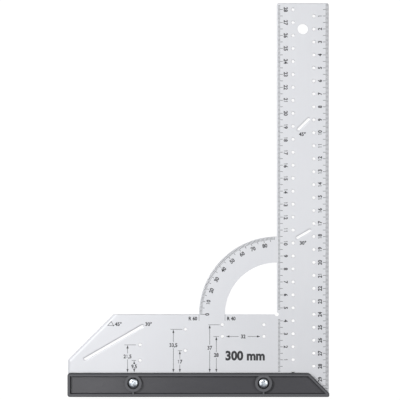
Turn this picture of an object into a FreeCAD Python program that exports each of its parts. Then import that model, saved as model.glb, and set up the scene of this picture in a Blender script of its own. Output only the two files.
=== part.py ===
import FreeCAD, Part
import Sketcher
import math
import os

# A 300 mm marking square: a stamped plate with a ruler, a foot and a quarter-ring protractor,
# and a two-shell stop rail that two screws clamp to the plate's lower edge.
#
# Frame: X across the plate, Y up along the ruler, Z out of the front face. The origin is the
# middle of the whole footprint, on the surface that the rail's rear face rests on.

SIZES = {
    # the whole object, plate and stop rail together
    "overall_length": 303.0,
    # plate
    "plate_length": 300.0,
    "plate_width": 201.0,
    "plate_thickness": 2.0,
    "ruler_width": 40.0,
    "ruler_corner_radius": 1.6,
    "foot_depth": 60.0,
    "foot_corner_cut": 35.0,
    "edge_break": 0.35,
    "foot_bevel_width": 1.6,
    "foot_bevel_depth": 0.5,
    "ring_outer_radius": 60.0,
    "ring_inner_radius": 40.0,
    "vertex_hole_diameter": 3.0,
    # openings in the plate
    "hang_hole_diameter": 8.0,
    "hang_hole_from_top": 20.0,
    "marking_hole_diameter": 2.4,
    "marking_hole_bevel": 0.2,
    "marking_hole_pitch": 10.0,
    "left_column_inset": 12.5,
    "right_column_inset": 11.5,
    "column_holes": 28.0,
    "slot_width": 1.8,
    "slot_bevel_width": 0.8,
    "slot_bevel_depth": 0.3,
    "foot_slot_length": 50.7,
    "foot_slot_across": -65.3,
    "foot_slot_height": 23.2,
    "shallow_angle": 30.0,
    "steep_angle": 45.0,
    "ruler_slot_length": 11.0,
    "ruler_slot_inset": 20.6,
    "steep_slot_height": 191.6,
    "shallow_slot_height": 106.8,
    # stop rail
    "stop_overlap": 15.0,
    "shell_thickness": 6.0,
    "shell_clearance": 0.1,
    "rim_width": 2.0,
    "lower_rim_width": 2.3,
    "recess_depth": 3.0,
    "recess_draft": 10.0,
    "rail_end_cut": 15.4,
    "rail_corner_radius": 1.8,
    "rail_tip_radius": 1.2,
    "rail_edge_radius": 1.0,
    "boss_diameter": 13.0,
    "rib_width": 1.1,
    "screw_spacing": 100.0,
    "screw_above_plate_edge": 7.5,
    "counterbore_diameter": 9.0,
    "counterbore_depth": 3.2,
    "screw_clearance_hole": 4.5,
    "nut_pocket_across_flats": 7.3,
    "nut_pocket_depth": 3.9,
    # fasteners
    "screw_diameter": 4.0,
    "screw_length": 10.0,
    "screw_tip_chamfer": 0.5,
    "head_diameter": 8.0,
    "head_height": 3.0,
    "head_side_height": 1.2,
    "head_flat_diameter": 4.4,
    "head_shoulder_radius": 1.6,
    "cross_recess_span": 4.4,
    "cross_recess_width": 1.0,
    "cross_recess_depth": 1.8,
    "nut_across_flats": 7.0,
    "nut_thickness": 3.2,
    "nut_bore_diameter": 4.1,
    "nut_chamfer_height": 0.31,
}

# Marking holes for hinge cups and system rows: distance from the plate's middle, height above
# the stop edge.
SYSTEM_HOLES = [
    (-45.0, 21.5),
    (-45.0, 9.5),
    (-10.0, 33.5),
    (-10.0, 17.0),
    (18.5, 37.0),
    (18.5, 28.0),
    (50.5, 37.0),
    (50.5, 28.0),
]

document = FreeCAD.newDocument("MarkingSquare")
sheet = document.addObject("Spreadsheet::Sheet", "Sizes")


class Length:
    """A size that carries its number and the sheet expression that gives it."""

    def __init__(self, value, text):
        self.value = value
        self.text = text

    def combined(self, other, sign, value):
        text = other.text if isinstance(other, Length) else str(other)
        return Length(value, "(" + self.text + " " + sign + " " + text + ")")

    def __add__(self, other):
        return self.combined(other, "+", self.value + number(other))

    def __sub__(self, other):
        return self.combined(other, "-", self.value - number(other))

    def __mul__(self, other):
        return self.combined(other, "*", self.value * number(other))

    def __truediv__(self, other):
        return self.combined(other, "/", self.value / number(other))

    def __neg__(self):
        return self * -1


def number(size):
    """The plain number of a size or of a number."""
    return size.value if isinstance(size, Length) else float(size)


def fill_sheet():
    """Write every driving size to the sheet, its name beside it and its alias on the number."""
    for row, (alias, value) in enumerate(SIZES.items(), start=1):
        sheet.set("A" + str(row), alias)
        sheet.set("B" + str(row), str(value))
        sheet.setAlias("B" + str(row), alias)
    document.recompute()


def size(alias):
    return Length(float(sheet.get(alias)), "Sizes." + alias)


# ---------------------------------------------------------------- sketch and feature helpers


def new_body(name):
    body = document.addObject("PartDesign::Body", name)
    body.Label = name
    return body


def place(body, x, y, z):
    """Bind a body's position to the sheet."""
    for axis, coordinate in zip("xyz", (x, y, z)):
        body.setExpression("Placement.Base." + axis, coordinate.text)


def new_sketch(body, name, height=None, plane="XY_Plane"):
    """A sketch on one of the body's own origin planes, raised by height along its normal."""
    sketch = body.newObject("Sketcher::SketchObject", name)
    support = [f for f in body.Origin.OriginFeatures if f.Role == plane][0]
    sketch.AttachmentSupport = [(support, "")]
    sketch.MapMode = "FlatFace"
    if height is not None:
        sketch.setExpression("AttachmentOffset.Base.z", height.text)
    return sketch


def constrain(sketch, kind, *terms):
    """Add a dimension whose last term is a Length, and bind it to the sheet."""
    target = terms[-1]
    index = sketch.addConstraint(Sketcher.Constraint(kind, *terms[:-1], number(target)))
    if isinstance(target, Length):
        sketch.setExpression("Constraints[" + str(index) + "]", target.text)


def pin(sketch, geometry, end, x, y):
    """Hold one point of a curve at sheet-driven coordinates."""
    constrain(sketch, "DistanceX", -1, 1, geometry, end, x)
    constrain(sketch, "DistanceY", -1, 1, geometry, end, y)


def at(x, y):
    return FreeCAD.Vector(number(x), number(y), 0)


def add_loop(sketch, corners):
    """A closed outline with straight sides through the corners."""
    ends = corners[1:] + corners[:1]
    lines = [
        sketch.addGeometry(Part.LineSegment(at(*start), at(*end)), False)
        for start, end in zip(corners, ends)
    ]
    for line, following in zip(lines, lines[1:] + lines[:1]):
        sketch.addConstraint(Sketcher.Constraint("Coincident", line, 2, following, 1))
    for line, corner in zip(lines, corners):
        pin(sketch, line, 1, *corner)
    return lines


def add_quarter(sketch, x, y, radius):
    """A quarter disc whose corner is at x, y, and which spreads up and to the left of it."""
    corner = at(x, y)
    top = at(number(x), number(y) + number(radius))
    side = at(number(x) - number(radius), number(y))
    rise = sketch.addGeometry(Part.LineSegment(corner, top), False)
    whole = Part.Circle(corner, FreeCAD.Vector(0, 0, 1), number(radius))
    arc = sketch.addGeometry(Part.ArcOfCircle(whole, math.pi / 2, math.pi), False)
    back = sketch.addGeometry(Part.LineSegment(side, corner), False)
    sketch.addConstraint(Sketcher.Constraint("Coincident", rise, 2, arc, 1))
    sketch.addConstraint(Sketcher.Constraint("Coincident", arc, 2, back, 1))
    sketch.addConstraint(Sketcher.Constraint("Coincident", back, 2, rise, 1))
    sketch.addConstraint(Sketcher.Constraint("Coincident", arc, 3, rise, 1))
    sketch.addConstraint(Sketcher.Constraint("Vertical", rise))
    sketch.addConstraint(Sketcher.Constraint("Horizontal", back))
    pin(sketch, rise, 1, x, y)
    constrain(sketch, "Radius", arc, radius)


def add_slot(sketch, length, width):
    """A round-ended slot along the sketch's own X axis; length is between the end centres."""
    half = number(length) / 2
    radius = number(width) / 2
    up = FreeCAD.Vector(0, 0, 1)
    lower = sketch.addGeometry(Part.LineSegment(at(-half, -radius), at(half, -radius)), False)
    right_end = Part.Circle(at(half, 0), up, radius)
    right = sketch.addGeometry(Part.ArcOfCircle(right_end, -math.pi / 2, math.pi / 2), False)
    upper = sketch.addGeometry(Part.LineSegment(at(half, radius), at(-half, radius)), False)
    left_end = Part.Circle(at(-half, 0), up, radius)
    left = sketch.addGeometry(Part.ArcOfCircle(left_end, math.pi / 2, 3 * math.pi / 2), False)
    outline = [lower, right, upper, left]
    for curve, following in zip(outline, outline[1:] + outline[:1]):
        sketch.addConstraint(Sketcher.Constraint("Tangent", curve, 2, following, 1))
    sketch.addConstraint(Sketcher.Constraint("Horizontal", lower))
    sketch.addConstraint(Sketcher.Constraint("Symmetric", right, 3, left, 3, -1, 1))
    constrain(sketch, "DistanceX", left, 3, right, 3, length)
    constrain(sketch, "Radius", right, width / 2)


def add_circle(sketch, x, y, diameter):
    circle = sketch.addGeometry(
        Part.Circle(at(x, y), FreeCAD.Vector(0, 0, 1), number(diameter) / 2), False
    )
    pin(sketch, circle, 3, x, y)
    constrain(sketch, "Diameter", circle, diameter)


def pad(body, sketch, length, name, reverse=False):
    feature = body.newObject("PartDesign::Pad", name)
    feature.Profile = sketch
    feature.setExpression("Length", length.text)
    feature.Reversed = reverse
    sketch.Visibility = False
    document.recompute()
    return feature


def pocket(body, sketch, depth, name, reverse=False, draft=None):
    """Cut a sketch into the body, and stop if it removes nothing."""
    before = body.Shape.Volume
    feature = body.newObject("PartDesign::Pocket", name)
    feature.Profile = sketch
    feature.setExpression("Length", depth.text)
    feature.Reversed = reverse
    if draft is not None:
        feature.setExpression("TaperAngle", draft.text)
    document.recompute()
    if body.Shape.Volume >= before - 0.001:
        raise RuntimeError(name + " removes nothing")
    return feature


def edges_where(shape, test):
    """Names of the edges that a test on the edge accepts."""
    return ["Edge" + str(i) for i, edge in enumerate(shape.Edges, start=1) if test(edge)]


def is_upright(edge):
    """True for a straight edge along Z."""
    if edge.Curve.TypeId != "Part::GeomLine":
        return False
    return abs(edge.tangentAt(edge.FirstParameter).z) > 0.999


def lies_at(edge, height):
    """True when the whole edge is at one height."""
    box = edge.BoundBox
    return abs(box.ZMin - height) < 0.001 and abs(box.ZMax - height) < 0.001


def fillet_edges(body, base, names, radius, name):
    feature = body.newObject("PartDesign::Fillet", name)
    feature.Base = (base, names)
    feature.setExpression("Radius", radius.text)
    document.recompute()
    return feature


def chamfer_edges(body, base, names, distance, name):
    feature = body.newObject("PartDesign::Chamfer", name)
    feature.Base = (base, names)
    feature.setExpression("Size", distance.text)
    document.recompute()
    return feature


def slope_edges(body, base, names, depth, width, name):
    """Bevel edges by a depth into the sheet and a width across its face."""
    bevel = body.newObject("PartDesign::Chamfer", name)
    bevel.Base = (base, names)
    bevel.ChamferType = "Two distances"
    bevel.setExpression("Size", width.text)
    bevel.setExpression("Size2", depth.text)
    document.recompute()
    return bevel


def lay_sketch(sketch, x, y, angle):
    """Move and turn a sketch in its own plane."""
    sketch.setExpression("AttachmentOffset.Base.x", x.text)
    sketch.setExpression("AttachmentOffset.Base.y", y.text)
    sketch.setExpression("AttachmentOffset.Rotation.Angle", angle.text)


# ---------------------------------------------------------------- shared places


fill_sheet()

half_width = size("plate_width") / 2
rail_bottom = -(size("overall_length") / 2)
plate_top = size("overall_length") / 2
plate_bottom = plate_top - size("plate_length")
stop_edge = plate_bottom + size("stop_overlap")
foot_top = plate_bottom + size("foot_depth")
ruler_left = half_width - size("ruler_width")
plate_back = size("shell_thickness")
plate_front = plate_back + size("plate_thickness")
rail_front = plate_front + size("shell_thickness")
screw_line = plate_bottom + size("screw_above_plate_edge")
screw_offset = size("screw_spacing") / 2
screw_places = (-screw_offset, screw_offset)
nothing = Length(0.0, "0")
head_seat = rail_front - size("counterbore_depth")


def cut_screw_holes(body, depth, start, reverse):
    """Drill the two clearance holes for the clamp screws, from the height start."""
    sketch = new_sketch(body, "screw_hole_outline", start)
    for x in screw_places:
        add_circle(sketch, x, screw_line, size("screw_clearance_hole"))
    return pocket(body, sketch, depth, "screw_holes", reverse=reverse)


# ---------------------------------------------------------------- plate


def blank_plate(body):
    """Ruler, foot and protractor ring as one sheet, lying on the body's XY plane."""
    thickness = size("plate_thickness")
    outline = new_sketch(body, "plate_outline")
    add_loop(
        outline,
        [
            (-half_width, plate_bottom),
            (half_width, plate_bottom),
            (half_width, plate_top),
            (ruler_left, plate_top),
            (ruler_left, foot_top),
            (-half_width + size("foot_corner_cut"), foot_top),
            (-half_width, foot_top - size("foot_corner_cut")),
        ],
    )
    pad(body, outline, thickness, "plate_sheet")
    ring = new_sketch(body, "ring_outline")
    add_quarter(ring, ruler_left, foot_top, size("ring_outer_radius"))
    pad(body, ring, thickness, "ring_sheet")
    window = new_sketch(body, "ring_window_outline")
    add_quarter(window, ruler_left, foot_top, size("ring_inner_radius"))
    pocket(body, window, thickness, "ring_window", reverse=True)
    vertex = new_sketch(body, "vertex_hole_outline")
    add_circle(vertex, ruler_left, foot_top, size("vertex_hole_diameter"))
    return pocket(body, vertex, thickness, "vertex_hole", reverse=True)


def round_ruler_end(body, base):
    """Soften the two corners of the ruler's free end."""
    end = plate_top.value
    corners = edges_where(
        base.Shape, lambda edge: is_upright(edge) and abs(edge.CenterOfMass.y - end) < 0.01
    )
    return fillet_edges(body, base, corners, size("ruler_corner_radius"), "ruler_end_corners")


def break_edges(body, base):
    """Take the sharpness off the front edges round the foot, the ring and the ruler."""
    front = size("plate_thickness").value
    bevel_low = front - size("foot_bevel_depth").value
    vertex = FreeCAD.Vector(ruler_left.value, foot_top.value, front)

    def is_open_edge(edge):
        middle = edge.CenterOfMass
        outside = middle.distanceToPoint(vertex) > size("ring_inner_radius").value
        above_foot = middle.y > foot_top.value - 0.01
        on_top = lies_at(edge, front) and (above_foot or middle.x > half_width.value - 0.01)
        return outside and (on_top or lies_at(edge, bevel_low))

    names = edges_where(base.Shape, is_open_edge)
    return chamfer_edges(body, base, names, size("edge_break"), "broken_edges")


def bevel_foot(body, base):
    """Bevel the front edge of the foot's left side and of its cut corner."""
    left = -half_width.value
    cut = size("foot_corner_cut").value
    front = size("plate_thickness").value

    def on_foot_edge(edge):
        middle = edge.CenterOfMass
        on_left = abs(middle.x - left) < 0.01
        on_cut = abs((middle.y - foot_top.value) - (middle.x - left - cut)) < 0.01
        return lies_at(edge, front) and (on_left or (on_cut and middle.x < left + cut))

    return slope_edges(
        body,
        base,
        edges_where(base.Shape, on_foot_edge),
        size("foot_bevel_depth"),
        size("foot_bevel_width"),
        "foot_bevel",
    )


def cut_columns(body):
    """Drill the marking holes, one column along each edge of the ruler."""
    thickness = size("plate_thickness")
    pitch = size("marking_hole_pitch")
    columns = [
        ("left_column", ruler_left + size("left_column_inset"), stop_edge, size("column_holes") + 1),
        (
            "right_column",
            half_width - size("right_column_inset"),
            plate_top - pitch * size("column_holes"),
            size("column_holes"),
        ),
    ]
    for name, x, lowest, count in columns:
        sketch = new_sketch(body, name + "_outline")
        add_circle(sketch, x, lowest, size("marking_hole_diameter"))
        first = pocket(body, sketch, thickness, name + "_hole", reverse=True)
        before = body.Shape.Volume
        column = body.newObject("PartDesign::LinearPattern", name)
        column.Originals = [first]
        column.Direction = (sketch, ["V_Axis"])
        column.setExpression("Length", (pitch * (count - 1)).text)
        column.setExpression("Occurrences", count.text)
        body.Tip = column
        document.recompute()
        if body.Shape.Volume >= before:
            raise RuntimeError(name + " repeats nothing")


def cut_system_holes(body):
    """Drill the hang hole and the hinge and row marking holes."""
    thickness = size("plate_thickness")
    hang = new_sketch(body, "hang_hole_outline")
    add_circle(
        hang,
        half_width - size("ruler_width") / 2,
        plate_top - size("hang_hole_from_top"),
        size("hang_hole_diameter"),
    )
    pocket(body, hang, thickness, "hang_hole", reverse=True)
    holes = new_sketch(body, "system_holes_outline")
    for across, height in SYSTEM_HOLES:
        add_circle(holes, Length(across, str(across)), stop_edge + height, size("marking_hole_diameter"))
    pocket(body, holes, thickness, "system_holes", reverse=True)


def cut_slots(body):
    """Cut the three pencil slots and bevel their front edges."""
    slots = [
        (
            "foot_slot",
            size("foot_slot_across"),
            stop_edge + size("foot_slot_height"),
            size("foot_slot_length"),
            size("shallow_angle"),
        ),
        (
            "steep_slot",
            ruler_left + size("ruler_slot_inset"),
            stop_edge + size("steep_slot_height"),
            size("ruler_slot_length"),
            size("steep_angle"),
        ),
        (
            "shallow_slot",
            ruler_left + size("ruler_slot_inset"),
            stop_edge + size("shallow_slot_height"),
            size("ruler_slot_length"),
            size("shallow_angle"),
        ),
    ]
    feature = None
    for name, x, y, length, angle in slots:
        sketch = new_sketch(body, name + "_outline")
        add_slot(sketch, length, size("slot_width"))
        lay_sketch(sketch, x, y, angle)
        feature = pocket(body, sketch, size("plate_thickness"), name, reverse=True)
    front = size("plate_thickness").value

    def on_slot_rim(edge):
        if edge.isClosed() or not lies_at(edge, front):
            return False
        for _, x, y, length, _ in slots:
            reach = (length.value + size("slot_width").value) / 2 + 0.1
            if edge.CenterOfMass.distanceToPoint(FreeCAD.Vector(x.value, y.value, front)) < reach:
                return edge.BoundBox.DiagonalLength < length.value + size("slot_width").value
        return False

    return slope_edges(
        body,
        feature,
        edges_where(feature.Shape, on_slot_rim),
        size("slot_bevel_depth"),
        size("slot_bevel_width"),
        "slot_bevels",
    )


def bevel_marking_holes(body, base):
    """Lead the awl or pencil point into every marking hole with a small front bevel."""
    front = size("plate_thickness").value
    radius = size("marking_hole_diameter").value / 2

    def is_hole_rim(edge):
        return lies_at(edge, front) and edge.isClosed() and abs(edge.Curve.Radius - radius) < 0.001

    names = edges_where(base.Shape, is_hole_rim)
    return chamfer_edges(body, base, names, size("marking_hole_bevel"), "marking_hole_bevels")


def square_plate():
    body = new_body("square_plate")
    sheet_metal = blank_plate(body)
    rounded = round_ruler_end(body, sheet_metal)
    beveled = bevel_foot(body, rounded)
    break_edges(body, beveled)
    cut_columns(body)
    cut_system_holes(body)
    cut_screw_holes(body, size("plate_thickness"), nothing, reverse=True)
    slotted = cut_slots(body)
    bevel_marking_holes(body, slotted)
    place(body, nothing, nothing, plate_back)
    return body


# ---------------------------------------------------------------- stop rail


def rail_outline():
    """Corners of the rail seen from the front, right end cut back at 45 degrees."""
    end = half_width
    return [
        (-end, rail_bottom),
        (end, rail_bottom),
        (end, stop_edge - size("rail_end_cut")),
        (end - size("rail_end_cut"), stop_edge),
        (-end, stop_edge),
    ]


def recess_outline():
    """The rail outline moved in by the rim, more along the closed lower edge."""
    rim = size("rim_width")
    bottom = rail_bottom + size("lower_rim_width")
    top = stop_edge - rim
    slant = rim * math.sqrt(2)
    slant_sum = half_width - size("rail_end_cut") + stop_edge - slant
    return [
        (-half_width + rim, bottom),
        (slant_sum - bottom, bottom),
        (slant_sum - top, top),
        (-half_width + rim, top),
    ]


def rail_shell(name, outward):
    """One half of the rail; outward is 1 for the front half and -1 for the rear half."""
    body = new_body(name)
    rear = outward < 0
    inner = plate_back if rear else plate_front
    outer = inner - size("shell_thickness") if rear else rail_front
    wall_floor = outer + size("recess_depth") * (-outward)

    outline = new_sketch(body, name + "_outline", inner)
    add_loop(outline, rail_outline())
    pad(body, outline, size("shell_thickness"), name + "_slab", reverse=rear)

    lip = new_sketch(body, name + "_lip_outline", inner)
    lip_top = plate_bottom - size("shell_clearance")
    add_loop(
        lip,
        [
            (-half_width, rail_bottom),
            (half_width, rail_bottom),
            (half_width, lip_top),
            (-half_width, lip_top),
        ],
    )
    base = pad(body, lip, size("plate_thickness") / 2, name + "_lip", reverse=not rear)
    base = round_rail(body, base, name, outer)

    recess = new_sketch(body, name + "_recess_outline", outer)
    add_loop(recess, recess_outline())
    draft = size("recess_draft")
    pocket(body, recess, size("recess_depth"), name + "_recess", reverse=rear, draft=-draft)

    bosses = new_sketch(body, name + "_boss_outline", wall_floor)
    for x in screw_places:
        add_circle(bosses, x, screw_line, size("boss_diameter"))
    pad(body, bosses, size("recess_depth"), name + "_bosses", reverse=rear)

    ribs = new_sketch(body, name + "_rib_outline", wall_floor)
    half_rib = size("rib_width") / 2
    for x in screw_places:
        add_loop(
            ribs,
            [
                (x - half_rib, rail_bottom + size("lower_rim_width") / 2),
                (x + half_rib, rail_bottom + size("lower_rim_width") / 2),
                (x + half_rib, screw_line - size("counterbore_diameter") / 2),
                (x - half_rib, screw_line - size("counterbore_diameter") / 2),
            ],
        )
    pad(body, ribs, size("recess_depth"), name + "_ribs", reverse=rear)

    if rear:
        cut_nut_pockets(body, outer)
    else:
        cut_counterbores(body, outer)
    cut_screw_holes(body, size("shell_thickness"), outer, rear)
    return body


def corner_at(x, y):
    """A test for the upright edge that stands over one point of the outline."""

    def test(edge):
        middle = edge.CenterOfMass
        return is_upright(edge) and math.hypot(middle.x - x.value, middle.y - y.value) < 0.01

    return test


def round_rail(body, base, name, outer):
    """Round the rail's corners seen from the front, then the edge of its outer face."""
    tip, slant_top, left_top, left_bottom = (rail_outline()[i] for i in (1, 3, 4, 0))
    large = []
    for corner in (slant_top, left_top, left_bottom):
        large += edges_where(base.Shape, corner_at(*corner))
    base = fillet_edges(body, base, large, size("rail_corner_radius"), name + "_corners")
    small = edges_where(base.Shape, corner_at(*tip))
    base = fillet_edges(body, base, small, size("rail_tip_radius"), name + "_tip")
    rim = edges_where(base.Shape, lambda edge: lies_at(edge, outer.value))
    return fillet_edges(body, base, rim, size("rail_edge_radius"), name + "_edge")


def cut_counterbores(body, outer):
    """Sink the screw heads into the front shell's bosses."""
    sketch = new_sketch(body, "counterbore_outline", outer)
    for x in screw_places:
        add_circle(sketch, x, screw_line, size("counterbore_diameter"))
    pocket(body, sketch, size("counterbore_depth"), "counterbores")


def add_hexagon(sketch, x, y, across_flats):
    """A hexagon with two sides along X."""
    side = across_flats / math.sqrt(3)
    half = across_flats / 2
    add_loop(
        sketch,
        [
            (x + side, y),
            (x + side / 2, y + half),
            (x - side / 2, y + half),
            (x - side, y),
            (x - side / 2, y - half),
            (x + side / 2, y - half),
        ],
    )


def cut_nut_pockets(body, outer):
    """Sink the nuts into the rear shell's bosses."""
    sketch = new_sketch(body, "nut_pocket_outline", outer)
    for x in screw_places:
        add_hexagon(sketch, x, screw_line, size("nut_pocket_across_flats"))
    pocket(body, sketch, size("nut_pocket_depth"), "nut_pockets", reverse=True)


# ---------------------------------------------------------------- fasteners


def turn_head_and_shank(body, name):
    """The screw turned about its own axis, its shoulder rounded."""
    profile = new_sketch(body, name + "_profile", plane="XZ_Plane")
    shank = size("screw_diameter") / 2
    tip = -size("screw_length")
    chamfer = size("screw_tip_chamfer")
    add_loop(
        profile,
        [
            (nothing, tip),
            (shank - chamfer, tip),
            (shank, tip + chamfer),
            (shank, nothing),
            (size("head_diameter") / 2, nothing),
            (size("head_diameter") / 2, size("head_side_height")),
            (size("head_flat_diameter") / 2, size("head_height")),
            (nothing, size("head_height")),
        ],
    )
    turned = body.newObject("PartDesign::Revolution", name + "_turned")
    turned.Profile = profile
    turned.ReferenceAxis = (profile, ["V_Axis"])
    turned.Angle = 360
    document.recompute()
    shoulders = edges_where(
        turned.Shape,
        lambda edge: lies_at(edge, size("head_side_height").value)
        or lies_at(edge, size("head_height").value),
    )
    return fillet_edges(body, turned, shoulders, size("head_shoulder_radius"), name + "_shoulder")


def clamp_screw(name, x):
    """A pan-head screw with a cross recess; its head seats on the body's own XY plane."""
    body = new_body(name)
    turn_head_and_shank(body, name)
    cross = new_sketch(body, name + "_cross_outline", size("head_height"))
    span = size("cross_recess_span") / 2
    half = size("cross_recess_width") / 2
    add_loop(
        cross,
        [
            (-span, -half),
            (-half, -half),
            (-half, -span),
            (half, -span),
            (half, -half),
            (span, -half),
            (span, half),
            (half, half),
            (half, span),
            (-half, span),
            (-half, half),
            (-span, half),
        ],
    )
    pocket(body, cross, size("cross_recess_depth"), name + "_cross")
    place(body, x, screw_line, head_seat)
    return body


def turn_nut_corners(body, name):
    """Turn the hexagon's corners off both faces, as a lathe does."""
    flat = size("nut_across_flats") / 2
    corner = size("nut_across_flats") / math.sqrt(3)
    rise = size("nut_chamfer_height")
    thickness = size("nut_thickness")
    for side, face, inner in (("rear", nothing, rise), ("seat", thickness, thickness - rise)):
        profile = new_sketch(body, name + "_" + side + "_corner", plane="XZ_Plane")
        add_loop(profile, [(flat, face), (corner, face), (corner, inner)])
        groove = body.newObject("PartDesign::Groove", name + "_" + side + "_turned")
        groove.Profile = profile
        groove.ReferenceAxis = (profile, ["V_Axis"])
        groove.Angle = 360
        document.recompute()


def clamp_nut(name, x):
    """A hexagon nut, seated at the bottom of its pocket."""
    body = new_body(name)
    outline = new_sketch(body, name + "_outline")
    add_hexagon(outline, nothing, nothing, size("nut_across_flats"))
    pad(body, outline, size("nut_thickness"), name + "_blank")
    turn_nut_corners(body, name)
    bore = new_sketch(body, name + "_bore_outline")
    add_circle(bore, nothing, nothing, size("nut_bore_diameter"))
    pocket(body, bore, size("nut_thickness"), name + "_bore", reverse=True)
    place(body, x, screw_line, size("nut_pocket_depth") - size("nut_thickness"))
    return body


# ---------------------------------------------------------------- build, check and write


def check(body):
    """Stop if any feature failed or the finished piece is not one valid solid."""
    for feature in body.Group + [body]:
        if "Invalid" in feature.State or "Error" in feature.State:
            raise RuntimeError(feature.Name + " is " + str(feature.State))
    shape = body.Shape
    if shape.isNull() or not shape.isValid() or len(shape.Solids) != 1:
        raise RuntimeError(body.Label + " is not one valid solid")
    box = shape.optimalBoundingBox()
    print(
        f"{body.Label}: {shape.Volume:.1f} mm3,"
        f" X {box.XMin:.2f} {box.XMax:.2f}, Y {box.YMin:.2f} {box.YMax:.2f},"
        f" Z {box.ZMin:.2f} {box.ZMax:.2f}"
    )


pieces = [
    square_plate(),
    rail_shell("stop_front_shell", 1),
    rail_shell("stop_rear_shell", -1),
    clamp_screw("clamp_screw_left", -screw_offset),
    clamp_screw("clamp_screw_right", screw_offset),
    clamp_nut("clamp_nut_left", -screw_offset),
    clamp_nut("clamp_nut_right", screw_offset),
]
document.recompute()

os.makedirs("parts", exist_ok=True)
for piece in pieces:
    check(piece)
for piece in pieces:
    piece.Shape.exportStep("parts/" + piece.Label + ".step")
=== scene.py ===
# The looks of the 300 mm marking square: its printed scales, its screws and nuts, and every
# material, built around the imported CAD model, with a plain studio and a camera straight above.
#
# Lengths in this script are millimetres in the model's own frame, and MM turns them into metres.

import math

import bmesh
import bpy
from mathutils import Matrix, Vector


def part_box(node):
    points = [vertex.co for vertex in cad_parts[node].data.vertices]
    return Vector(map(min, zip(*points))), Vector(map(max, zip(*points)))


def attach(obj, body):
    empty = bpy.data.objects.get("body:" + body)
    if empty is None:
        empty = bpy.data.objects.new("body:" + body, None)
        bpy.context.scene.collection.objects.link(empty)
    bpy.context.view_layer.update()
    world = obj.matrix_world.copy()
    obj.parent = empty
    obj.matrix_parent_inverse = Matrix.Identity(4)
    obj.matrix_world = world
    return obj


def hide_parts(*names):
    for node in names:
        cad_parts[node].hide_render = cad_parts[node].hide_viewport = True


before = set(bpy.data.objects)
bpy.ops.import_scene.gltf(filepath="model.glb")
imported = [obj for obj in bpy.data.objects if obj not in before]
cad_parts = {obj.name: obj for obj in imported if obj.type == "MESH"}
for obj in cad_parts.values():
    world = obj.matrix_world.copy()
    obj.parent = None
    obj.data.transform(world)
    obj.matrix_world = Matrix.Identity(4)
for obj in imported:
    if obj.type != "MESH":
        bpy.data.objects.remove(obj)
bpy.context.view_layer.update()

MM = 0.001


def corners(node):
    """Lowest and highest corner of a CAD node, in millimetres."""
    low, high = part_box(node)
    return low / MM, high / MM


# ---------------------------------------------------------------- places read from the frame

plate_low, plate_high = corners("square_plate")
rail_low, rail_high = corners("stop_front_shell")

RULER_WIDTH = 40.0
FOOT_DEPTH = 60.0
RAIL_END_CUT = 15.4
RING_OUTER = 60.0
RING_INNER = 40.0

plate_front = plate_high.z
rail_level = (plate_low.z + plate_high.z) / 2
rail_half_depth = rail_high.z - rail_level
rail_line = (rail_low.y + rail_high.y) / 2
rail_half_height = (rail_high.y - rail_low.y) / 2
stop_edge = rail_high.y
foot_top = plate_low.y + FOOT_DEPTH
ruler_left = plate_high.x - RULER_WIDTH
vertex = Vector((ruler_left, foot_top))

PLATE_BODY = "plate_and_rear_rail"


# ---------------------------------------------------------------- meshes


def plain_mesh(name, points, faces):
    """A mesh object from points in millimetres."""
    mesh = bpy.data.meshes.new(name)
    mesh.from_pydata([Vector(p) * MM for p in points], [], faces)
    mesh.validate()
    piece = bpy.data.objects.new(name, mesh)
    bpy.context.scene.collection.objects.link(piece)
    return piece


def steps(count):
    """Angles of count even steps round a circle, in radians."""
    return [2 * math.pi * i / count for i in range(count)]


def circle(radius, count):
    """Points of a circle round the origin, counterclockwise."""
    return [(radius * math.cos(a), radius * math.sin(a)) for a in steps(count)]


# ---------------------------------------------------------------- printed marks

INK_HEIGHT = 0.03
INK_SUNK = 0.01
EDGE_GAP = 0.3
LEFT_SCALE_GAP = 0.9
RING_GAP = 0.5

CAP_HEIGHT = 0.685
WORD_SPACE = 0.3
SQUEEZE = 0.92
ONE_ADVANCE = 0.5
ONE_OUTLINE = [
    (0.300, 0.0),
    (0.300, 0.682),
    (0.205, 0.682),
    (0.085, 0.595),
    (0.085, 0.505),
    (0.205, 0.580),
    (0.205, 0.0),
]

glyphs = {}


def prism(outline, low, high):
    """Points and faces of a closed prism over an outline that runs counterclockwise."""
    count = len(outline)
    points = [(x, y, z) for z in (low, high) for x, y in outline]
    faces = [list(reversed(range(count))), [count + i for i in range(count)]]
    for i in range(count):
        j = (i + 1) % count
        faces.append([i, j, count + j, count + i])
    return points, faces


def type_mesh(text, weight):
    """A line of the built-in typeface, one em high and one em thick, as a welded mesh."""
    curve = bpy.data.curves.new("type", "FONT")
    curve.body = text
    curve.extrude = 0.5
    curve.offset = weight
    curve.resolution_u = 3
    holder = bpy.data.objects.new("type", curve)
    mesh = bpy.data.meshes.new_from_object(holder)
    solid = bmesh.new()
    solid.from_mesh(mesh)
    bmesh.ops.remove_doubles(solid, verts=solid.verts, dist=0.0005)
    bmesh.ops.recalc_face_normals(solid, faces=solid.faces)
    points = [tuple(v.co) for v in solid.verts]
    faces = [[v.index for v in face.verts] for face in solid.faces]
    solid.free()
    bpy.data.objects.remove(holder)
    bpy.data.curves.remove(curve)
    bpy.data.meshes.remove(mesh)
    return points, faces


def glyph(character, weight):
    """Points, faces and pen advance of one character; the figure one has a flag of its own."""
    key = (character, weight)
    if key not in glyphs:
        if character == " ":
            glyphs[key] = ([], [], WORD_SPACE)
        elif character == "1":
            glyphs[key] = (*prism(ONE_OUTLINE, -0.5, 0.5), ONE_ADVANCE)
        else:
            points, faces = type_mesh(character, weight)
            pair, _ = type_mesh(character + character, weight)
            advance = max(p[0] for p in pair) - max(p[0] for p in points)
            glyphs[key] = (points, faces, advance)
    return glyphs[key]


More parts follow.
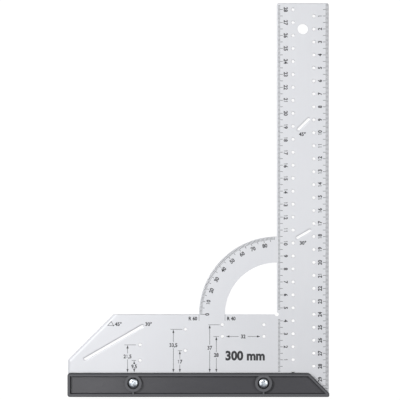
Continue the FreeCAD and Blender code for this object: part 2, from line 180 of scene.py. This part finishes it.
class Print:
    """Ink marks on the plate's front face, gathered into one piece of closed prisms."""

    def __init__(self, name):
        self.name = name
        self.points = []
        self.faces = []
        self.low = plate_front - INK_SUNK
        self.high = plate_front + INK_HEIGHT

    def add(self, points, faces):
        start = len(self.points)
        self.points += points
        self.faces += [[start + i for i in face] for face in faces]

    def patch(self, outline):
        """A flat mark inside an outline that runs counterclockwise."""
        self.add(*prism([tuple(p) for p in outline], self.low, self.high))

    def bar(self, start, end, width):
        """A straight stroke from one point to another."""
        start, end = Vector(start), Vector(end)
        side = (end - start).orthogonal().normalized() * width / 2
        self.patch([start - side, end - side, end + side, start + side])

    def arrow(self, tip, along, length, width):
        """A filled arrowhead whose point is at tip and which points along a unit vector."""
        tip, along = Vector(tip), Vector(along)
        back = tip - along * length
        side = along.orthogonal() * width / 2
        self.patch([tip, back + side, back - side])

    def write(self, text, centre, height, turn=0.0, squeeze=SQUEEZE, weight=0.0):
        """A line of text centred on a point, turned by an angle in degrees."""
        em = height / CAP_HEIGHT
        width = sum(glyph(c, weight)[2] for c in text) * em * squeeze
        thick = self.high - self.low
        middle = (self.high + self.low) / 2
        pen = -width / 2
        for character in text:
            points, faces, advance = glyph(character, weight)
            lay = (
                Matrix.Translation((*centre, middle))
                @ Matrix.Rotation(math.radians(turn), 4, "Z")
                @ Matrix.Translation((pen, -height / 2, 0))
                @ Matrix.Diagonal((em * squeeze, em, thick, 1))
            )
            self.add([tuple(lay @ Vector(p)) for p in points], faces)
            pen += advance * em * squeeze

    def finish(self):
        piece = plain_mesh(self.name, self.points, self.faces)
        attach(piece, PLATE_BODY)
        return piece


# ---------------------------------------------------------------- ruler scales

TICK_WIDTH = 0.32
SHORT_TICK = 2.5
LONG_TICK = 4.5
NUMBER_INSET = 6.8
NUMBER_HEIGHT = 2.8
NUMBER_WEIGHT = 0.035
NOTCH_CLEARANCE = 3.0
RAIL_MARGIN = 0.3


def tick_length(millimetre):
    return LONG_TICK if millimetre % 5 == 0 else SHORT_TICK


def is_under_rail(x, y):
    """True where the rail, whose right end is cut back at 45 degrees, covers the plate."""
    slant = rail_high.x - RAIL_END_CUT + stop_edge
    return y < stop_edge + RAIL_MARGIN and x + y < slant + RAIL_MARGIN


def left_scale():
    """From the stop edge up, along the ruler's left edge."""
    ticks = Print("left_scale_ticks")
    numbers = Print("left_scale_numbers")
    edge = ruler_left + LEFT_SCALE_GAP
    longest = int(plate_high.y - stop_edge)
    for millimetre in range(1, longest):
        y = stop_edge + millimetre
        if abs(y - foot_top) > NOTCH_CLEARANCE:
            ticks.bar((edge, y), (ruler_left + tick_length(millimetre), y), TICK_WIDTH)
        if millimetre % 10 == 0:
            place = (ruler_left + NUMBER_INSET, y)
            text = str(millimetre // 10)
            numbers.write(text, place, NUMBER_HEIGHT, -90, weight=NUMBER_WEIGHT)
    return [ticks.finish(), numbers.finish()]


def right_scale():
    """From the ruler's free end down, along its right edge."""
    ticks = Print("right_scale_ticks")
    numbers = Print("right_scale_numbers")
    right = plate_high.x
    longest = int(plate_high.y - plate_low.y)
    for millimetre in range(1, longest):
        y = plate_high.y - millimetre
        inner = right - tick_length(millimetre)
        if not is_under_rail(inner, y):
            ticks.bar((inner, y), (right - EDGE_GAP, y), TICK_WIDTH)
        number_x = right - NUMBER_INSET
        if millimetre % 10 == 0 and not is_under_rail(number_x - NUMBER_HEIGHT, y):
            text = str(millimetre // 10)
            numbers.write(text, (number_x, y), NUMBER_HEIGHT, 90, weight=NUMBER_WEIGHT)
    return [ticks.finish(), numbers.finish()]


# ---------------------------------------------------------------- protractor scale

DEGREE_WIDTH = 0.32
DEGREE_TICK = 2.5
FIVE_DEGREE_TICK = 4.0
DEGREE_NUMBER_RADIUS = 53.7
ZERO_TICK = (59.0, 54.6)
LAST_DEGREE = 88


def on_ring(radius, degrees):
    """A point of the protractor: 0 degrees is along the foot's top edge, 90 along the ruler."""
    angle = math.radians(degrees)
    return vertex + Vector((-math.cos(angle), math.sin(angle))) * radius


def protractor_scale():
    ticks = Print("protractor_ticks")
    numbers = Print("protractor_numbers")
    ticks.bar(on_ring(ZERO_TICK[0], 0), on_ring(ZERO_TICK[1], 0), DEGREE_WIDTH)
    for degrees in range(1, LAST_DEGREE + 1):
        length = FIVE_DEGREE_TICK if degrees % 5 == 0 else DEGREE_TICK
        outer = on_ring(RING_OUTER - RING_GAP, degrees)
        ticks.bar(outer, on_ring(RING_OUTER - length, degrees), DEGREE_WIDTH)
    for degrees in range(0, 90, 10):
        place = on_ring(DEGREE_NUMBER_RADIUS, degrees)
        numbers.write(str(degrees), place, NUMBER_HEIGHT, 90 - degrees, weight=NUMBER_WEIGHT)
    return [ticks.finish(), numbers.finish()]


# ---------------------------------------------------------------- dimension drawing on the foot

LINE_WIDTH = 0.3
ARROW_LENGTH = 2.6
ARROW_WIDTH = 1.6
LABEL_HEIGHT = 2.7
LABEL_GAP = 2.3
ARROW_REST = 0.3

# Each height above the stop edge that a marking hole stands for: its label, the drawn line's
# place across the plate, the height, the witness line's two ends, and the label's height.
HEIGHTS = [
    ("21,5", -54.6, 21.5, (-57.1, -48.0), 12.6),
    ("9,5", -49.5, 9.5, (-51.4, -48.1), 4.9),
    ("33,5", -19.3, 33.5, (-21.5, -12.3), 21.3),
    ("17", -14.3, 17.0, (-15.7, -12.6), 8.6),
    ("37", 8.7, 37.0, (7.6, 16.3), 19.3),
    ("28", 13.8, 28.0, (11.6, 15.9), 13.7),
]
SPACING_LABEL = "32"
SPACING_HEIGHT = 28.0
SPACING_ENDS = (21.3, 47.7)
SPACING_LABEL_GAP = 3.5


def height_dimension(lines, heads, labels, text, x, height, witness, label_height):
    """A vertical dimension from the stop edge to a height, broken around its label."""
    top = stop_edge + height
    bottom = stop_edge + ARROW_REST
    middle = stop_edge + label_height
    lines.bar((witness[0], top), (witness[1], top), LINE_WIDTH)
    if top - ARROW_LENGTH > middle + LABEL_GAP:
        lines.bar((x, top - ARROW_LENGTH), (x, middle + LABEL_GAP), LINE_WIDTH)
    if bottom + ARROW_LENGTH < middle - LABEL_GAP:
        lines.bar((x, middle - LABEL_GAP), (x, bottom + ARROW_LENGTH), LINE_WIDTH)
    heads.arrow((x, top - LINE_WIDTH / 2), (0, 1), ARROW_LENGTH, ARROW_WIDTH)
    heads.arrow((x, bottom), (0, -1), ARROW_LENGTH, ARROW_WIDTH)
    labels.write(text, (x, middle), LABEL_HEIGHT, weight=NUMBER_WEIGHT)


def spacing_dimension(lines, heads, labels):
    """The level dimension between the two columns of holes beside the ruler."""
    y = stop_edge + SPACING_HEIGHT
    left, right = SPACING_ENDS
    middle = (left + right) / 2
    heads.arrow((left, y), (-1, 0), ARROW_LENGTH, ARROW_WIDTH)
    heads.arrow((right, y), (1, 0), ARROW_LENGTH, ARROW_WIDTH)
    lines.bar((left + ARROW_LENGTH, y), (middle - SPACING_LABEL_GAP, y), LINE_WIDTH)
    lines.bar((middle + SPACING_LABEL_GAP, y), (right - ARROW_LENGTH, y), LINE_WIDTH)
    labels.write(SPACING_LABEL, (middle, y), LABEL_HEIGHT, weight=NUMBER_WEIGHT)


def dimension_drawing():
    lines = Print("dimension_lines")
    heads = Print("dimension_arrowheads")
    labels = Print("dimension_numbers")
    for row in HEIGHTS:
        height_dimension(lines, heads, labels, *row)
    spacing_dimension(lines, heads, labels)
    return [lines.finish(), heads.finish(), labels.finish()]


# ---------------------------------------------------------------- labels

RADIUS_LABEL_DROP = 3.2
RADIUS_LABEL_ASIDE = 4.8
RADIUS_TICK = 5.0
RADIUS_TICK_WIDTH = LINE_WIDTH * 0.7
ANGLE_HEIGHT = 2.6

# The cut corner's angle and each slot's, and where its label is centred.
ANGLES = [
    ("45°", (-61.7, -96.0)),
    ("30°", (-38.4, -96.0)),
    ("45°", (ruler_left + 19.7, 50.4)),
    ("30°", (ruler_left + 20.1, -33.4)),
]


def radius_labels():
    """The ring's two radii, each beside a short line where the ring meets the foot."""
    labels = Print("radius_labels")
    y = foot_top - RADIUS_LABEL_DROP
    for radius, side in ((RING_OUTER, -1), (RING_INNER, 1)):
        x = ruler_left - radius
        labels.bar((x, foot_top - EDGE_GAP), (x, foot_top - RADIUS_TICK), RADIUS_TICK_WIDTH)
        text = "R " + str(round(radius))
        place = (x + side * RADIUS_LABEL_ASIDE, y)
        labels.write(text, place, ANGLE_HEIGHT, weight=NUMBER_WEIGHT)
    return labels.finish()


def angle_labels():
    """The angles of the cut corner and the slots, beside them."""
    labels = Print("angle_labels")
    for text, place in ANGLES:
        labels.write(text, place, ANGLE_HEIGHT, squeeze=1.0, weight=NUMBER_WEIGHT)
    return labels.finish()


def angle_symbol():
    """A small outlined triangle with a dot in its corner, before the cut corner's angle."""
    symbol = Print("angle_symbol")
    left, right = -70.0, -65.4
    low, high = -97.1, -94.0
    lean = 0.6
    top = (left + right) / 2 + lean
    stroke = 0.34
    dot_radius = 0.5
    symbol.bar((left, low), (right, low), stroke)
    symbol.bar((left, low), (top, high), stroke)
    symbol.bar((top, high), (right, low), stroke)
    symbol.patch([(right + x, low + y) for x, y in circle(dot_radius, 16)])
    return symbol.finish()


SIZE_MARK_PLACE = (36.0, -120.3)
SIZE_MARK_HEIGHT = 6.6
SIZE_MARK_SQUEEZE = 0.95
SIZE_MARK_WEIGHT = 0.045


def size_mark():
    """The square's nominal length, in large bold figures on the foot."""
    mark = Print("size_mark")
    mark.write(
        "300 mm",
        SIZE_MARK_PLACE,
        SIZE_MARK_HEIGHT,
        squeeze=SIZE_MARK_SQUEEZE,
        weight=SIZE_MARK_WEIGHT,
    )
    return mark.finish()


# ---------------------------------------------------------------- fasteners

SCREW_LENGTH = 10.0
THREAD_PITCH = 0.7
THREAD_OUTER = 2.0
THREAD_ROOT = 1.6
THREAD_TURN_STEPS = 48
THREAD_PITCH_STEPS = 8
THREAD_START = 0.3
THREAD_RUN_OUT = 0.8
RIDGE_HEIGHT = 1.6
RIDGE_SLOPE = 4.0
TIP_RADIUS = 1.45
TIP_CHAMFER = 0.5
HEAD_RADIUS = 4.0
HEAD_HEIGHT = 3.0
HEAD_SIDE = 0.5
HEAD_EDGE = 0.25
HEAD_SQUARENESS = 2.9
DOME_STEPS = 20
CROWN_RADIUS = 0.25
CROSS_REACH = 2.25
CROSS_WIDTH = 0.95
CROSS_DEPTH = 1.9
SHARP_ANGLE = 35
SCREW_TURNS = {"left": 20, "right": 62}


def lathe_rings(rings):
    """A closed mesh from rings of points, closed by a point on the axis at each end."""
    count = len(rings[0])
    points = [(0, 0, rings[0][0][2])]
    for ring in rings:
        points += ring
    points.append((0, 0, rings[-1][0][2]))
    faces = []
    for j in range(count):
        following = (j + 1) % count
        faces.append([0, 1 + following, 1 + j])
        for i in range(len(rings) - 1):
            row = 1 + i * count
            above = row + count
            faces.append([row + j, row + following, above + following, above + j])
        last = 1 + (len(rings) - 1) * count
        faces.append([last + j, last + following, len(points) - 1])
    return points, faces


def thread_ring(z):
    """One level of the shank, where the thread's ridge passes round it once per pitch."""
    ring = []
    for angle in steps(THREAD_TURN_STEPS):
        phase = (z / THREAD_PITCH - angle / (2 * math.pi)) % 1.0
        ridge = max(0.0, min(1.0, RIDGE_HEIGHT - abs(phase - 0.5) * RIDGE_SLOPE))
        fade = min(1.0, max(0.0, (-z - THREAD_START) / THREAD_RUN_OUT))
        depth = (THREAD_OUTER - THREAD_ROOT) * (1 - ridge) * fade
        limit = TIP_RADIUS + max(0.0, z + SCREW_LENGTH) / TIP_CHAMFER * (THREAD_OUTER - TIP_RADIUS)
        radius = min(THREAD_OUTER - depth, limit)
        ring.append((radius * math.cos(angle), radius * math.sin(angle), z))
    return ring


def round_ring(radius, z):
    return [(x, y, z) for x, y in circle(radius, THREAD_TURN_STEPS)]


def head_profile():
    """The pan head from its seat to its crown: a small edge, an upright side, a flat dome."""
    profile = [(HEAD_RADIUS - HEAD_EDGE, 0.0), (HEAD_RADIUS, HEAD_EDGE), (HEAD_RADIUS, HEAD_SIDE)]
    dome = HEAD_HEIGHT - HEAD_SIDE
    power = 2 / HEAD_SQUARENESS
    for step in range(1, DOME_STEPS):
        angle = step / DOME_STEPS * math.pi / 2
        radius = HEAD_RADIUS * math.cos(angle) ** power
        profile.append((radius, HEAD_SIDE + dome * math.sin(angle) ** power))
    profile.append((CROWN_RADIUS, HEAD_HEIGHT))
    return profile


def screw_blank():
    """Shank, thread and head as one closed mesh, the head's seat at height 0."""
    levels = int(SCREW_LENGTH / THREAD_PITCH * THREAD_PITCH_STEPS)
    rings = [thread_ring(-SCREW_LENGTH + SCREW_LENGTH * i / levels) for i in range(levels + 1)]
    rings += [round_ring(radius, z) for radius, z in head_profile()]
    return lathe_rings(rings)


def cross_blade(turn):
    """One blade of the driver that the cross recess fits: wide at the crown, narrow below."""
    lift = 0.6
    wide = CROSS_REACH + 0.25
    narrow = CROSS_REACH * 0.45
    half_top = CROSS_WIDTH / 2 * 1.1
    half_low = CROSS_WIDTH / 2 * 0.75
    top = HEAD_HEIGHT + lift
    low = HEAD_HEIGHT - CROSS_DEPTH
    points = []
    for reach, half, z in ((narrow, half_low, low), (wide, half_top, top)):
        points += [(-reach, -half, z), (reach, -half, z), (reach, half, z), (-reach, half, z)]
    spin = Matrix.Rotation(math.radians(turn), 4, "Z")
    faces = [[3, 2, 1, 0], [4, 5, 6, 7], [0, 1, 5, 4], [1, 2, 6, 5], [2, 3, 7, 6], [3, 0, 4, 7]]
    return [tuple(spin @ Vector(p)) for p in points], faces


def cut_with(piece, cutters):
    """Take the cutters' shapes out of a piece, and leave the result in its mesh."""
    for cutter in cutters:
        cut = piece.modifiers.new("cut", "BOOLEAN")
        cut.operation = "DIFFERENCE"
        cut.solver = "EXACT"
        cut.object = cutter
    bpy.context.view_layer.update()
    shaped = piece.evaluated_get(bpy.context.evaluated_depsgraph_get())
    mesh = bpy.data.meshes.new_from_object(shaped)
    piece.modifiers.clear()
    piece.data = mesh
    for cutter in cutters:
        bpy.data.objects.remove(cutter)


def clamp_screw(side):
    """A threaded pan-head screw with a cross recess, in place of the plain CAD screw."""
    node = "clamp_screw_" + side
    low, high = corners(node)
    axis = (low + high) / 2
    seat = low.z + SCREW_LENGTH
    screw = plain_mesh("pan_head_screw_" + side, *screw_blank())
    cut_with(screw, [plain_mesh("blade", *cross_blade(angle)) for angle in (0, 90)])
    screw.data.transform(Matrix.Rotation(math.radians(SCREW_TURNS[side]), 4, "Z"))
    screw.data.transform(Matrix.Translation(Vector((axis.x, axis.y, seat)) * MM))
    screw.data.polygons.foreach_set("use_smooth", [True] * len(screw.data.polygons))
    screw.data.set_sharp_from_angle(angle=math.radians(SHARP_ANGLE))
    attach(screw, side + "_screw")
    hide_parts(node)
    return screw


# ---------------------------------------------------------------- materials

NOISE_SPAN = (0.3, 0.7)


class Graph:
    """A new material's node tree around one Principled shader."""

    def __init__(self, name):
        self.material = bpy.data.materials.new(name)
        self.material.use_nodes = True
        self.nodes = self.material.node_tree.nodes
        self.links = self.material.node_tree.links
        self.nodes.clear()
        self.shader = self.nodes.new("ShaderNodeBsdfPrincipled")
        output = self.nodes.new("ShaderNodeOutputMaterial")
        self.links.new(self.shader.outputs["BSDF"], output.inputs["Surface"])
        self.place = self.nodes.new("ShaderNodeTexCoord").outputs["Object"]
        self.normal = self.nodes.new("ShaderNodeNewGeometry").outputs["Normal"]

    def set(self, **values):
        for socket, value in values.items():
            self.shader.inputs[socket.replace("_", " ")].default_value = value

    def feed(self, output, socket):
        self.links.new(output, self.shader.inputs[socket])

    def join(self, term, socket):
        """Give a socket a number, a colour or another node's output."""
        if isinstance(term, tuple):
            socket.default_value = (*term, 1.0)
        elif isinstance(term, (int, float)):
            socket.default_value = term
        else:
            self.links.new(term, socket)

    def noise(self, scale, detail=2.0, stretch=(1, 1, 1)):
        """Noise in object space, with scale in features per metre before stretch."""
        mapping = self.nodes.new("ShaderNodeMapping")
        mapping.inputs["Scale"].default_value = stretch
        self.links.new(self.place, mapping.inputs["Vector"])
        texture = self.nodes.new("ShaderNodeTexNoise")
        texture.inputs["Scale"].default_value = scale
        texture.inputs["Detail"].default_value = detail
        self.links.new(mapping.outputs["Vector"], texture.inputs["Vector"])
        return texture.outputs["Fac"]

    def remap(self, value, old, new):
        node = self.nodes.new("ShaderNodeMapRange")
        for socket, number in zip(("From Min", "From Max", "To Min", "To Max"), (*old, *new)):
            node.inputs[socket].default_value = number
        self.links.new(value, node.inputs["Value"])
        return node.outputs["Result"]

    def maths(self, operation, first, second):
        node = self.nodes.new("ShaderNodeMath")
        node.operation = operation
        self.join(first, node.inputs[0])
        self.join(second, node.inputs[1])
        return node.outputs["Value"]

    def mixed_evenly(self, first, second):
        """The mean of two outputs."""
        return self.maths("MULTIPLY", self.maths("ADD", first, second), 0.5)

    def varied(self, noise, low, high):
        """A number that goes from low to high over a noise's usual span."""
        return self.remap(noise, NOISE_SPAN, (low, high))

    def mottled(self, noise, dark, light):
        """A colour that goes from dark to light over a noise's usual span."""
        return self.blend(self.varied(noise, 0.0, 1.0), dark, light)

    def beyond(self, vector, axis, middle, near, far):
        """0 up to a distance from the middle along an axis, rising to 1 at a further one."""
        parts = self.nodes.new("ShaderNodeSeparateXYZ")
        self.links.new(vector, parts.inputs["Vector"])
        offset = self.maths("SUBTRACT", parts.outputs[axis], middle)
        return self.remap(self.maths("ABSOLUTE", offset, 0.0), (near, far), (0.0, 1.0))

    def near_rim(self, axis, middle, reach, start, end):
        """0 inside a part, rising to 1 between two depths below its far sides, in millimetres."""
        near, far = (reach - start) * MM, (reach - end) * MM
        return self.beyond(self.place, axis, middle * MM, near, far)

    def mixed(self, factor, first, second):
        """A number between two; each is a number or another node's output."""
        node = self.nodes.new("ShaderNodeMix")
        self.links.new(factor, node.inputs["Factor"])
        self.join(first, node.inputs[2])
        self.join(second, node.inputs[3])
        return node.outputs[0]

    def blend(self, factor, first, second):
        """A colour between two; each is a colour or another node's output."""
        node = self.nodes.new("ShaderNodeMix")
        node.data_type = "RGBA"
        self.links.new(factor, node.inputs["Factor"])
        self.join(first, node.inputs[6])
        self.join(second, node.inputs[7])
        return node.outputs[2]

    def worn_edges(self, radius):
        """The rounded normal near edges, and how near each point is to one."""
        bevel = self.nodes.new("ShaderNodeBevel")
        bevel.samples = 4
        bevel.inputs["Radius"].default_value = radius * MM
        dot = self.nodes.new("ShaderNodeVectorMath")
        dot.operation = "DOT_PRODUCT"
        self.links.new(bevel.outputs["Normal"], dot.inputs[0])
        self.links.new(self.normal, dot.inputs[1])
        edge = self.remap(dot.outputs["Value"], (1.0, 0.85), (0.0, 1.0))
        return bevel.outputs["Normal"], edge

    def bump(self, height, strength, distance, normal=None):
        node = self.nodes.new("ShaderNodeBump")
        node.inputs["Strength"].default_value = strength
        node.inputs["Distance"].default_value = distance * MM
        self.links.new(height, node.inputs["Height"])
        if normal is not None:
            self.links.new(normal, node.inputs["Normal"])
        self.feed(node.outputs["Normal"], "Normal")


def anodised_aluminium():
    """Satin silver sheet: a soft etched grain, faint brushing along the ruler, duller bevels."""
    slot_bevel_roughness = 0.66
    foot_bevel_roughness = 0.77
    graph = Graph("anodised_aluminium")
    graph.set(Metallic=0.65)
    grain = graph.noise(5200, 3)
    brushing = graph.noise(1500, 4, (1.0, 0.02, 1.0))
    cloud = graph.noise(18, 2)
    rounded, edge = graph.worn_edges(0.12)
    tone = graph.mixed_evenly(brushing, cloud)
    body = graph.mottled(tone, (0.70, 0.705, 0.725), (0.73, 0.735, 0.75))
    graph.feed(graph.blend(edge, body, (0.74, 0.745, 0.76)), "Base Color")
    sheet = graph.varied(brushing, 0.47, 0.55)
    # A bevel's normal has a Z of 0.936 in the slots and 0.954 on the foot.
    shallower = graph.beyond(graph.normal, "Z", 0.9, 0.04, 0.05)
    bevels = graph.mixed(shallower, slot_bevel_roughness, foot_bevel_roughness)
    off_bevels = graph.beyond(graph.normal, "Z", 0.945, 0.02, 0.035)
    graph.feed(graph.mixed(off_bevels, bevels, sheet), "Roughness")
    height = graph.maths("ADD", grain, graph.maths("MULTIPLY", brushing, 0.6))
    graph.bump(height, 0.25, 0.004, rounded)
    return graph.material


def moulded_black_plastic():
    """Glass-filled nylon: glossy in the recesses, a matt rim coloured lighter as painted light,
    coarse side walls and outer edge bands coloured dark as painted shade, worn edges.
    """
    # Painted shade colour, used on the side walls and on the rail's outer edge bands.
    painted_shade = (0.045, 0.045, 0.049)
    graph = Graph("moulded_black_plastic")
    graph.set(IOR=1.5)
    grain = graph.noise(4200, 4)
    flow = graph.noise(60, 3, (0.25, 1.0, 1.0))
    rounded, edge = graph.worn_edges(0.25)
    rim = graph.near_rim("Z", rail_level, rail_half_depth, 0.5, 0.2)
    # Painted shade mask: a band along the rail's upper and lower outer sides.
    painted_edge_shade = graph.near_rim("Y", rail_line, rail_half_height, 1.0, 0.6)
    level = graph.beyond(graph.normal, "Z", 0.0, 0.7, 0.99)
    face = graph.mottled(flow, (0.060, 0.059, 0.065), (0.070, 0.069, 0.076))
    # Painted light: the rim's top is coloured lighter than the recess floor, which reads as painted
    # shade in the recess.
    face = graph.blend(rim, face, (0.106, 0.106, 0.114))
    # Painted shade: the outer edge bands are coloured dark.
    face = graph.blend(painted_edge_shade, face, painted_shade)
    # Painted shade: faces whose normal is far from level, the side walls, take the dark colour.
    body = graph.blend(level, painted_shade, face)
    worn = graph.maths("MULTIPLY", edge, graph.varied(graph.noise(900, 2), 0.1, 0.5))
    graph.feed(graph.blend(worn, body, (0.12, 0.12, 0.125)), "Base Color")
    roughness = graph.mixed(rim, 0.33, 0.65)
    roughness = graph.mixed(level, 0.8, roughness)
    graph.feed(graph.maths("ADD", roughness, graph.varied(grain, -0.03, 0.03)), "Roughness")
    graph.bump(grain, 0.35, 0.012, rounded)
    return graph.material


def zinc_plated_steel():
    """Bright zinc with a cold cast, faint turning marks and dulled patches."""
    graph = Graph("zinc_plated_steel")
    graph.set(Metallic=1.0)
    patches = graph.noise(700, 3)
    marks = graph.noise(6000, 2, (1.0, 1.0, 0.2))
    cleaner = graph.remap(patches, (0.35, 0.65), (0, 1))
    body = graph.blend(cleaner, (0.72, 0.76, 0.80), (0.80, 0.83, 0.85))
    graph.feed(body, "Base Color")
    graph.feed(graph.varied(patches, 0.34, 0.44), "Roughness")
    graph.bump(marks, 0.15, 0.01)
    return graph.material


def printed_ink():
    """Dark grey screen ink, a little uneven in density."""
    graph = Graph("printed_ink")
    density = graph.noise(1600, 3)
    body = graph.mottled(density, (0.022, 0.022, 0.025), (0.038, 0.038, 0.042))
    graph.feed(body, "Base Color")
    graph.feed(graph.varied(density, 0.5, 0.65), "Roughness")
    graph.bump(density, 0.2, 0.005)
    return graph.material


FLOOR_GLOW = 0.97


def pale_floor():
    """Near-white studio floor with a faint mottle, lit a little from within to stay clean."""
    graph = Graph("pale_floor")
    body = graph.mottled(graph.noise(6, 3), (0.07, 0.07, 0.07), (0.09, 0.09, 0.09))
    graph.feed(body, "Base Color")
    graph.set(Roughness=0.9, Emission_Color=(1, 1, 1, 1), Emission_Strength=FLOOR_GLOW)
    graph.set(Specular_IOR_Level=0.1)
    return graph.material


def paint(piece, material):
    """Give every slot of a piece, or its first, this material."""
    if not piece.data.materials:
        piece.data.materials.append(material)
    for i in range(len(piece.data.materials)):
        piece.data.materials[i] = material


# ---------------------------------------------------------------- studio

FLOOR_REACH = 60000.0
FLOOR_BELOW = 0.05
CAMERA_PLACE = (1.23, -0.33)
CAMERA_ABOVE_PLATE = 1200.0
FRAMED_WIDTH = 308.3
SENSOR = 36.0

DARK_AIR = (0.03, 0.035, 0.05, 1)
PALE_AIR = (0.145, 0.15, 0.165, 1)
WALL_BRIGHTNESS = 3.5

# Each lamp: its name, its place in metres, its side in metres, its power in watts, and whether
# it makes sheen only.
LAMPS = [
    ("key", (-0.67, 0.34, 1.15), 0.3, 13.5, False),
    ("fill", (0.72, 0.02, 1.15), 0.8, 6.0, False),
    ("rail_sheen", (-0.13, -0.2, 0.5), 0.12, 0.2, True),
]


def floor():
    """The surface that the square lies on."""
    reach = FLOOR_REACH
    points = [(-reach, -reach, 0), (reach, -reach, 0), (reach, reach, 0), (-reach, reach, 0)]
    ground = plain_mesh("floor", points, [[0, 1, 2, 3]])
    ground.location.z = -FLOOR_BELOW * MM
    paint(ground, pale_floor())


def soft_light(name, place, size, power, sheen_only):
    """A square area light at a place in metres, aimed at the object."""
    lamp = bpy.data.lights.new(name, "AREA")
    lamp.size = size
    lamp.energy = power
    light = bpy.data.objects.new(name, lamp)
    light.location = place
    light.rotation_euler = (-Vector(place)).to_track_quat("-Z", "Y").to_euler()
    light.visible_camera = False
    light.visible_diffuse = not sheen_only
    bpy.context.scene.collection.objects.link(light)


def smooth_ramp(tree, value, start, end, low=0.0, high=1.0):
    """Eases from low to high while a node's output goes from start to end."""
    ramp = tree.nodes.new("ShaderNodeMapRange")
    ramp.interpolation_type = "SMOOTHSTEP"
    for socket, number in zip(("From Min", "From Max", "To Min", "To Max"), (start, end, low, high)):
        ramp.inputs[socket].default_value = number
    tree.links.new(value, ramp.inputs["Value"])
    return ramp.outputs["Result"]


def studio_world():
    """A dim room, dark and cold before and behind the square, with a pale wall to its left."""
    world = bpy.data.worlds.new("studio")
    world.use_nodes = True
    tree = world.node_tree
    tree.nodes.clear()
    direction = tree.nodes.new("ShaderNodeTexCoord").outputs["Generated"]
    away = tree.nodes.new("ShaderNodeSeparateXYZ")
    level = tree.nodes.new("ShaderNodeMath")
    level.operation = "ABSOLUTE"
    air = tree.nodes.new("ShaderNodeMix")
    air.data_type = "RGBA"
    air.inputs[6].default_value = DARK_AIR
    air.inputs[7].default_value = PALE_AIR
    background = tree.nodes.new("ShaderNodeBackground")
    output = tree.nodes.new("ShaderNodeOutputWorld")
    tree.links.new(direction, away.inputs["Vector"])
    tree.links.new(away.outputs["Y"], level.inputs[0])
    overhead = smooth_ramp(tree, level.outputs["Value"], 0.85, 0.15)
    wall = smooth_ramp(tree, away.outputs["X"], -0.4, -0.95, 1.0, WALL_BRIGHTNESS)
    tree.links.new(overhead, air.inputs["Factor"])
    tree.links.new(air.outputs[2], background.inputs["Color"])
    tree.links.new(wall, background.inputs["Strength"])
    tree.links.new(background.outputs["Background"], output.inputs["Surface"])
    bpy.context.scene.world = world


def camera():
    """Straight above the square, far enough away to look almost level across it."""
    data = bpy.data.cameras.new("camera")
    data.sensor_width = SENSOR
    data.lens = SENSOR * CAMERA_ABOVE_PLATE / FRAMED_WIDTH
    view = bpy.data.objects.new("camera", data)
    view.location = Vector((*CAMERA_PLACE, plate_front + CAMERA_ABOVE_PLATE)) * MM
    bpy.context.scene.collection.objects.link(view)
    bpy.context.scene.camera = view


# ---------------------------------------------------------------- the whole scene

printed = [*left_scale(), *right_scale(), *protractor_scale(), *dimension_drawing()]
printed += [radius_labels(), angle_labels(), angle_symbol(), size_mark()]
ink = printed_ink()
for piece in printed:
    paint(piece, ink)

steel = zinc_plated_steel()
for side in SCREW_TURNS:
    paint(clamp_screw(side), steel)
    paint(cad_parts["clamp_nut_" + side], steel)

plastic = moulded_black_plastic()
paint(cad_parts["stop_front_shell"], plastic)
paint(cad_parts["stop_rear_shell"], plastic)
paint(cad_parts["square_plate"], anodised_aluminium())

floor()
studio_world()
for lamp in LAMPS:
    soft_light(*lamp)
camera()
bpy.context.scene.view_settings.view_transform = "Standard"
